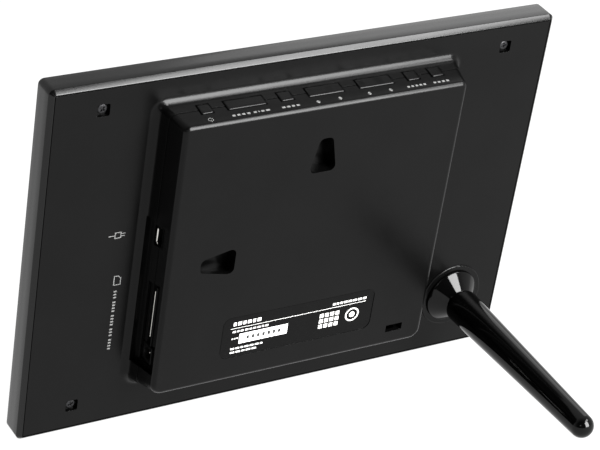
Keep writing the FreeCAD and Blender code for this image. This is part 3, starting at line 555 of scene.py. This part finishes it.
def cross_screw(mesh, x, y, low, top, radius, turn):
    """A pan-head screw: domed head with a cross recess, and its threaded shank below."""
    steps = 48
    tip, waist, depth = radius * 0.62, radius * 0.17, 0.55
    cross = []
    for quarter in range(4):
        for px, py in ((tip, -waist), (tip, waist), (waist, waist)):
            angle = math.radians(90 * quarter + turn)
            cosine, sine = math.cos(angle), math.sin(angle)
            cross.append((px * cosine - py * sine, px * sine + py * cosine))
    dome = ((radius, low), (radius, top - 0.35), (radius * 0.96, top - 0.16), (radius * 0.86, top - 0.04),
            (radius * 0.74, top))
    rings = [circle(mesh, (x, y), r, level, steps) for r, level in dome]
    skin(mesh, rings, caps=(0,))
    mouth = [mesh.verts.new((x + px, y + py, top)) for px, py in cross]
    floor = [mesh.verts.new((x + px * 0.72, y + py * 0.72, top - depth)) for px, py in cross]
    edges = []
    for ring in (rings[-1], mouth):
        for index in range(len(ring)):
            pair = (ring[index], ring[(index + 1) % len(ring)])
            edges.append(mesh.edges.get(pair) or mesh.edges.new(pair))
    bmesh.ops.triangle_fill(mesh, use_beauty=True, edges=edges)
    skin(mesh, [mouth, floor], caps=(-1,))
    pitch = 0.45
    shank = [(0.0, low - 5.6), (0.5, low - 5.6)]
    for thread in range(11):
        level = low - 5.4 + thread * pitch
        shank += [(0.78, level), (0.98, level + 0.2)]
    shank += [(0.8, low), (0.0, low)]
    lathe(mesh, shank, (x, y), 24)


def rear_screws():
    mesh = bmesh.new()
    for x, y, turn in ((-80, 11, 20), (-80, 131, 52), (80, 131, 8)):
        cross_screw(mesh, x, y, 0.7, 1.5, 1.8, turn)
    piece("cover_screws", mesh, "screw", stands_for=("corner_screws",))


# Keys -----------------------------------------------------------------------------------------------

# Each key: its middle along the wall, and its width.
PUSH_KEYS = (("power_key", -45.2, 4.7), ("view_key", -30.0, 15.0), ("menu_key", -14.4, 5.2),
             ("enter_key", 36.5, 5.1), ("back_key", 46.5, 5.1))
ROCKER_KEYS = (("up_down_key", 1.0, 14.0), ("left_right_key", 21.2, 14.0))
KEY_HALF_HEIGHT = 2.4
FLANGE_TOP = -3.6
FLANGE_FOOT = -4.4


def key_shell(centre, width):
    """A key cap on the wall's plane: crowned top, soft edges, a skirt and a flange behind the wall."""
    mesh = bmesh.new()
    half_x, half_y = width / 2, KEY_HALF_HEIGHT
    # How far each level stands out from the cap's side, its height, and its corner radius.
    levels = [(0.8, FLANGE_FOOT, 0.7), (0.8, FLANGE_TOP, 0.7), (0.0, FLANGE_TOP, 0.7), (0.0, 0.08, 0.7),
              (-0.04, 0.2, 0.68), (-0.14, 0.3, 0.6), (-0.3, 0.36, 0.5), (-0.7, 0.39, 0.4), (-1.4, 0.4, 0.3)]
    loops = []
    for grow, level, radius in levels:
        x = (centre - half_x - grow, centre + half_x + grow)
        loops.append(loop(mesh, x, (-half_y - grow, half_y + grow), level, radius, 5))
    skin(mesh, loops, caps=(0, -1))
    return mesh


def rocker_shell(centre, width):
    """A rocker: two pads with a ridge between, on one skirt."""
    mesh = bmesh.new()
    half_y = KEY_HALF_HEIGHT
    count = 42
    rows = []
    # Across the key, its section is a low arch; along it, the top dips into each pad.
    section = ((-half_y, -0.2), (-half_y, 0.1), (-half_y + 0.12, 0.28), (-half_y + 0.4, 0.38), (-1.2, 0.4),
               (0, 0.4),
               (1.2, 0.4), (half_y - 0.4, 0.38), (half_y - 0.12, 0.28), (half_y, 0.1), (half_y, -0.2))
    for index in range(count + 1):
        share = index / count
        x = centre - width / 2 + width * share
        edge = min(share, 1 - share) * width
        fall = 0.3 * max(0.0, 1 - edge / 0.5) ** 2
        dip = 0.24 * max(0.0, 1 - abs(abs(x - centre) - 3.6) / 3.1)
        row = []
        for y, z in section:
            top = z - (fall if z > 0.2 else 0) - (dip if abs(y) <= 1.3 else dip * 0.5 if z > 0.3 else 0)
            row.append(mesh.verts.new((x, y, top)))
        rows.append(row)
    for first, second in zip(rows, rows[1:]):
        for index in range(len(section) - 1):
            mesh.faces.new((first[index], first[index + 1], second[index + 1], second[index]))
    for row in (rows[0], rows[-1]):
        mesh.faces.new(row)
    # The skirt carries the pads down to the flange.
    rim = [row[0] for row in rows] + [row[-1] for row in reversed(rows)]
    spread_x = 1 + 1.6 / width
    spread_y = 1.25
    foot = [mesh.verts.new((v.co.x, v.co.y, FLANGE_TOP)) for v in rim]
    wide = [mesh.verts.new((centre + (v.co.x - centre) * spread_x, v.co.y * spread_y, FLANGE_TOP))
            for v in rim]
    low = [mesh.verts.new((v.co.x, v.co.y, FLANGE_FOOT)) for v in wide]
    skin(mesh, [rim, foot, wide, low], caps=(-1,))
    return mesh


def keys():
    for name, centre, width in PUSH_KEYS:
        piece(name + "_cap", key_shell(centre, width), "keys", name, (name,), 30, WALL)
    for name, centre, width in ROCKER_KEYS:
        piece(name + "_cap", rocker_shell(centre, width), "keys", name, (name,), 30, WALL)


# Stand ----------------------------------------------------------------------------------------------

LEG = (77.7, 24.4)
STUD_CLEAR = 2.6
NECK_LEVEL = 9.32
SHOULDER_RADIUS, SHOULDER_LEVEL = 6.57, 12.4
TIP_RADIUS, TIP_LEVEL = 4.45, 89.5


def taper(start, end, shares):
    """Points at shares of the way from one (radius, level) to another."""
    return [(start[0] + (end[0] - start[0]) * share, start[1] + (end[1] - start[1]) * share)
            for share in shares]


def stand():
    """The turned stand: a flared collar, a short neck and the tapered leg with its round tip."""
    collar = bmesh.new()
    profile = [(STUD_CLEAR, 3.35), (10.3, 3.35), (10.6, 3.4), (10.75, 3.55), (10.8, 3.75), (10.76, 3.95)]
    profile += taper((10.6, 4.14), (5.7, 8.75), (0.0, 0.1, 0.3, 0.5, 0.7, 0.9, 1.0))
    profile += [(5.52, 8.93), (5.43, 9.1), (5.4, NECK_LEVEL), (STUD_CLEAR, NECK_LEVEL)]
    lathe(collar, profile, LEG)
    leg = bmesh.new()
    profile = [(STUD_CLEAR, NECK_LEVEL), (5.0, NECK_LEVEL), (5.5, 9.36), (5.95, 9.55), (6.28, 9.9),
               (6.48, 10.35), (SHOULDER_RADIUS, 10.95), (6.59, 11.6)]
    profile += taper((SHOULDER_RADIUS, SHOULDER_LEVEL), (TIP_RADIUS, TIP_LEVEL),
                     (0.0, 0.15, 0.35, 0.55, 0.75, 0.9, 1.0))
    for angle in range(8, 90, 8):
        turn = math.radians(angle)
        profile.append((TIP_RADIUS * math.cos(turn), TIP_LEVEL + TIP_RADIUS * math.sin(turn)))
    profile.append((0.0, TIP_LEVEL + TIP_RADIUS))
    lathe(leg, profile, LEG)
    piece("collar_turning", collar, "stand", "stand", ("stand_collar",), 50)
    piece("leg_turning", leg, "stand", "stand", ("stand_leg",), 50)


# Sockets --------------------------------------------------------------------------------------------

# The floor of the recess: x up the panel, y out towards the housing's flat back, z out of the side.
SIDE = Matrix(((0, 0, -1, -55.95), (1, 0, 0, 0), (0, 1, 0, 0), (0, 0, 0, 1)))


def outline(mesh, points, level):
    return [mesh.verts.new((x, y, level)) for x, y in points]


def usb_socket():
    """The mini USB socket: its shell, the bright lip of the shell, and its tongue."""
    shell = bmesh.new()
    outer = [(76.5, 7.3), (77.3, 5.95), (83.3, 5.95), (84.1, 7.3), (84.1, 9.75), (76.5, 9.75)]
    inner = [(76.85, 7.42), (77.55, 6.28), (83.05, 6.28), (83.75, 7.42), (83.75, 9.42), (76.85, 9.42)]
    skin(shell, [outline(shell, outer, -8.5), outline(shell, outer, 0.0), outline(shell, inner, 0.0),
                 outline(shell, inner, -7.5)], caps=(0, -1))
    piece("usb_shell", shell, "jack", stands_for=("mini_usb_socket",), plane=SIDE)
    lip = Print(0.02)
    lip.line(((82.7, 6.3), (77.7, 6.3), (76.9, 7.2)), 0.24, lean=0.3)
    piece("usb_lip", lip.mesh, "nickel", plane=SIDE)
    tongue = bmesh.new()
    block(tongue, (78.1, 82.5), (7.5, 8.2), (-7.6, -1.8, -1.6), 0.1)
    piece("usb_tongue", tongue, "jack", plane=SIDE)


def contact_row(mesh, count, first, pitch, half_width, y, z, radius):
    """A row of flat contacts, one pitch apart."""
    for index in range(count):
        x = first + index * pitch
        block(mesh, (x - half_width, x + half_width), y, z, radius, 1)


def socket_contacts():
    contacts = bmesh.new()
    contact_row(contacts, 5, 78.7, 0.8, 0.18, (8.16, 8.28), (-7.4, -2.0), 0.04)
    contact_row(contacts, 10, 38.6, 2.3, 0.45, (7.48, 7.75), (-14.0, -5.0), 0.1)
    piece("socket_contacts", contacts, "gold", plane=SIDE)


def card_slot():
    """The memory card slot: its body, and the bright spring plate in its mouth."""
    card = bmesh.new()
    # From the back of the body to its front face, then into the slot:
    # x limits, y limits, depth and corner radius.
    levels = (((36.25, 61.15), (5.95, 10.75), -33.0, 0.3), ((36.25, 61.15), (5.95, 10.75), -0.1, 0.3),
              ((36.35, 61.05), (6.05, 10.65), 0.0, 0.25), ((36.5, 60.9), (7.5, 10.0), 0.0, 0.2),
              ((36.55, 60.85), (7.6, 9.95), -0.4, 0.2), ((36.55, 60.85), (7.6, 9.95), -30.0, 0.2))
    skin(card, [loop(card, *level, 4) for level in levels], caps=(0, -1))
    piece("card_slot_body", card, "jack", stands_for=("card_socket",), plane=SIDE)
    spring = bmesh.new()
    low, high, near, far = 39.8, 58.9, 8.95, 9.5
    skin(spring, [loop(spring, (low, high), (near, far), level, 0.12, 3) for level in (-9.0, -0.12)],
         caps=(0,))
    skin(spring, [loop(spring, (low + inset, high - inset), (near + inset, far - inset), level, 0.1, 3)
                  for inset, level in ((0.0, -0.12), (0.05, -0.04), (0.14, 0.0))], caps=(-1,))
    piece("card_slot_spring", spring, "nickel", plane=SIDE)


def power_jack():
    """The power inlet: a block with a round mouth, and the pin in its middle."""
    jack = bmesh.new()
    middle, level, radius = 32.5, 8.9, 2.2
    rings = [loop(jack, (28.95, 36.05), (5.95, 11.85), depth, 0.5) for depth in (-9.6, -0.1)]
    rings.append(loop(jack, (29.05, 35.95), (6.05, 11.75), 0.0, 0.45))
    for grow, depth in ((0.35, 0.0), (0.1, -0.12), (0.0, -0.35), (0.0, -8.4)):
        size = radius + grow
        rings.append(loop(jack, (middle - size, middle + size), (level - size, level + size), depth, size))
    skin(jack, rings, caps=(0, -1))
    piece("power_jack_body", jack, "jack", stands_for=("dc_jack",), plane=SIDE)
    pin = bmesh.new()
    sizes = ((0.5, -8.6), (0.5, -1.5), (0.42, -1.1), (0.2, -0.9))
    skin(pin, [loop(pin, (middle - r, middle + r), (level - r, level + r), depth, r, 6)
               for r, depth in sizes], caps=(0, -1))
    piece("power_jack_pin", pin, "nickel", stands_for=("jack_pin",), plane=SIDE)


def sockets():
    """The three sockets in the recess, each with its mouth, inner parts and contacts."""
    usb_socket()
    socket_contacts()
    card_slot()
    power_jack()


# Printing -------------------------------------------------------------------------------------------


def key_marks():
    """Pale marks under the keys: a power sign, plain blocks in place of words, and pairs of arrows."""
    level = 5.7
    marks = Print(0.025)
    marks.ring(-45.8, level, 0.85, 0.2, 120, 420, 20)
    marks.bar(-45.9, level + 0.1, -45.7, level + 1.15)
    words = ((-37.6, -30.8, (3, 3, 3, 3)), (-29.4, -23.2, (3, 1, 3, 4)), (-18.4, -11.6, (3, 3, 3, 3)),
             (31.8, 39.4, (3, 3, 3, 3, 3)), (42.6, 49.0, (3, 3, 3, 3)))
    for x0, x1, widths in words:
        marks.word(x0, x1, level - 0.15, 0.85, widths, 0.7)
    for x in (-4.2, 4.5, 16.3, 24.9):
        for side in (-1, 1):
            tip, foot = level - 0.1 + side * 0.85, level - 0.1 + side * 0.12
            marks.area(((x - 0.75, foot), (x, tip), (x + 0.75, foot)))
    piece("key_marks", marks.mesh, "ink", plane=WALL, smooth=20)


def cover_marks():
    """Pale pictograms and a column of small blocks beside the sockets."""
    marks = Print(0.025)
    # A plug on its lead, for the computer socket.
    marks.line(((-72.9, 80.3), (-70.4, 80.3)), 0.3)
    marks.line(((-70.4, 79.2), (-68.2, 79.2), (-68.2, 81.4), (-70.4, 81.4)), 0.3, closed=True)
    marks.line(((-68.2, 79.8), (-66.6, 79.8)), 0.3)
    marks.line(((-68.2, 80.8), (-66.6, 80.8)), 0.3)
    # A card with a clipped corner, for the card slot.
    marks.line(((-68.8, 59.7), (-66.3, 59.7), (-66.3, 62.3), (-67.3, 63.3), (-68.8, 63.3)), 0.3, closed=True)
    y = 57.2
    mark_height, mark_pitch, group_gap = 0.62, 1.24, 0.75
    for count in (3, 4, 4, 3, 4):
        for _ in range(count):
            marks.bar(-68.4, y - mark_height, -67.3, y)
            y -= mark_pitch
        y -= group_gap
    piece("cover_marks", marks.mesh, "ink", plane=COVER, smooth=20)


def label_art():
    """The label's printing: a rule, rows of blocks in place of text, and two plain patterns."""
    art = Print(0.015)
    art.bar(-27.6, 40.95, 28.6, 41.15)
    art.word(-26.6, -15.4, 42.9, 1.5, (3, 4, 3, 4, 3, 4), 0.6)
    art.word(14.4, 28.6, 42.5, 0.9, (2, 2, 2, 3, 3, 3, 3, 3), 0.45)
    art.word(-26.6, -12.0, 39.6, 0.75, (3, 2, 3, 3, 2, 3, 3, 2, 3), 0.5)
    art.word(-26.6, -24.0, 36.6, 0.6, (3, 2, 3), 0.4)
    art.word(-26.6, -13.4, 32.2, 0.7, (3, 3, 2, 3, 3, 3, 2), 0.5)
    art.word(-26.6, -15.8, 30.6, 0.7, (3, 3, 2, 3, 3), 0.5)
    # A grid of squares, and a disc in a ring.
    for column in range(4):
        for row in range(3):
            x, y = 9.5 + column * 2.2, 32.9 + row * 2.35
            art.bar(x, y, x + 1.6, y + 1.7)
    art.ring(23.4, 36.3, 2.6, 0.6)
    art.area(tuple(arc(23.4, 36.3, 1.2, 0, 330, 11)))
    piece("label_print", art.mesh, "label_ink", plane=LABEL_TOP, smooth=20)
    digits = Print(0.012)
    digits.word(-20.6, -6.6, 36.2, 1.5, (2, 2, 2, 2, 2, 2, 2), 1.1)
    piece("sticker_print", digits.mesh, "black_ink", plane=STICKER_TOP, smooth=20)


# CAD nodes that stay --------------------------------------------------------------------------------

NODE_FINISH = {
    "rear_cover": "housing", "housing_cap": "housing", "lcd_glass": "glass", "diffuser_sheets": "diffuser",
    "light_guide": "acrylic", "led_strip": "led_tape", "lcd_frame": "steel", "lcd_brackets": "zinc",
    "bracket_screws": "zinc", "cap_screws": "zinc", "board_screws": "zinc",
    "main_board": "board", "key_board": "board",
    "processor_chip": "epoxy", "memory_chips": "epoxy", "flash_chip": "epoxy", "power_coils": "ferrite",
    "crystal": "can", "capacitors": "can",
    "lcd_connector": "ivory", "key_connector": "ivory", "lcd_flex": "film", "key_flex": "film",
    "backlight_cable": "wire", "tact_switches": "switches", "stand_insert": "brass", "stand_stud": "steel",
    "rating_label": "label", "serial_label": "paper",
}
# Rounded edges in mm, for the CAD solids whose edges show.
SOFTENED = {"rear_cover": 0.2, "housing_cap": 0.2, "stand_insert": 0.15}


def soft_shade_group():
    """A modifier's node group that marks every face as smooth."""
    group = bpy.data.node_groups.new("soft_shade", "GeometryNodeTree")
    group.interface.new_socket("Geometry", in_out="INPUT", socket_type="NodeSocketGeometry")
    group.interface.new_socket("Geometry", in_out="OUTPUT", socket_type="NodeSocketGeometry")
    start = group.nodes.new("NodeGroupInput")
    shade = group.nodes.new("GeometryNodeSetShadeSmooth")
    end = group.nodes.new("NodeGroupOutput")
    group.links.new(start.outputs[0], shade.inputs[0])
    group.links.new(shade.outputs[0], end.inputs[0])
    return group


def soften(node, width):
    """Small rounded edges on a carried-over CAD solid, by modifiers only."""
    obj = NODES[node]
    weld = obj.modifiers.new("weld", "WELD")
    weld.merge_threshold = 1e-6
    flat = obj.modifiers.new("flatten", "DECIMATE")
    flat.decimate_type = "DISSOLVE"
    flat.angle_limit = math.radians(0.5)
    bevel = obj.modifiers.new("edges", "BEVEL")
    bevel.width = width * MM
    bevel.segments = 3
    bevel.limit_method = "ANGLE"
    bevel.angle_limit = math.radians(32)
    bevel.harden_normals = False
    shade = obj.modifiers.new("shade", "NODES")
    shade.node_group = SHADE_GROUP
    even = obj.modifiers.new("normals", "WEIGHTED_NORMAL")
    even.keep_sharp = False
    even.weight = 90


SHADE_GROUP = soft_shade_group()


def dress_nodes():
    for node, finish in NODE_FINISH.items():
        obj = NODES[node]
        obj.data.materials.clear()
        obj.data.materials.append(FINISH[finish])
    for node, width in SOFTENED.items():
        soften(node, width)


place_camera()
studio()
dress_nodes()
bezel()
rear_screws()
keys()
stand()
sockets()
key_marks()
cover_marks()
label_art()
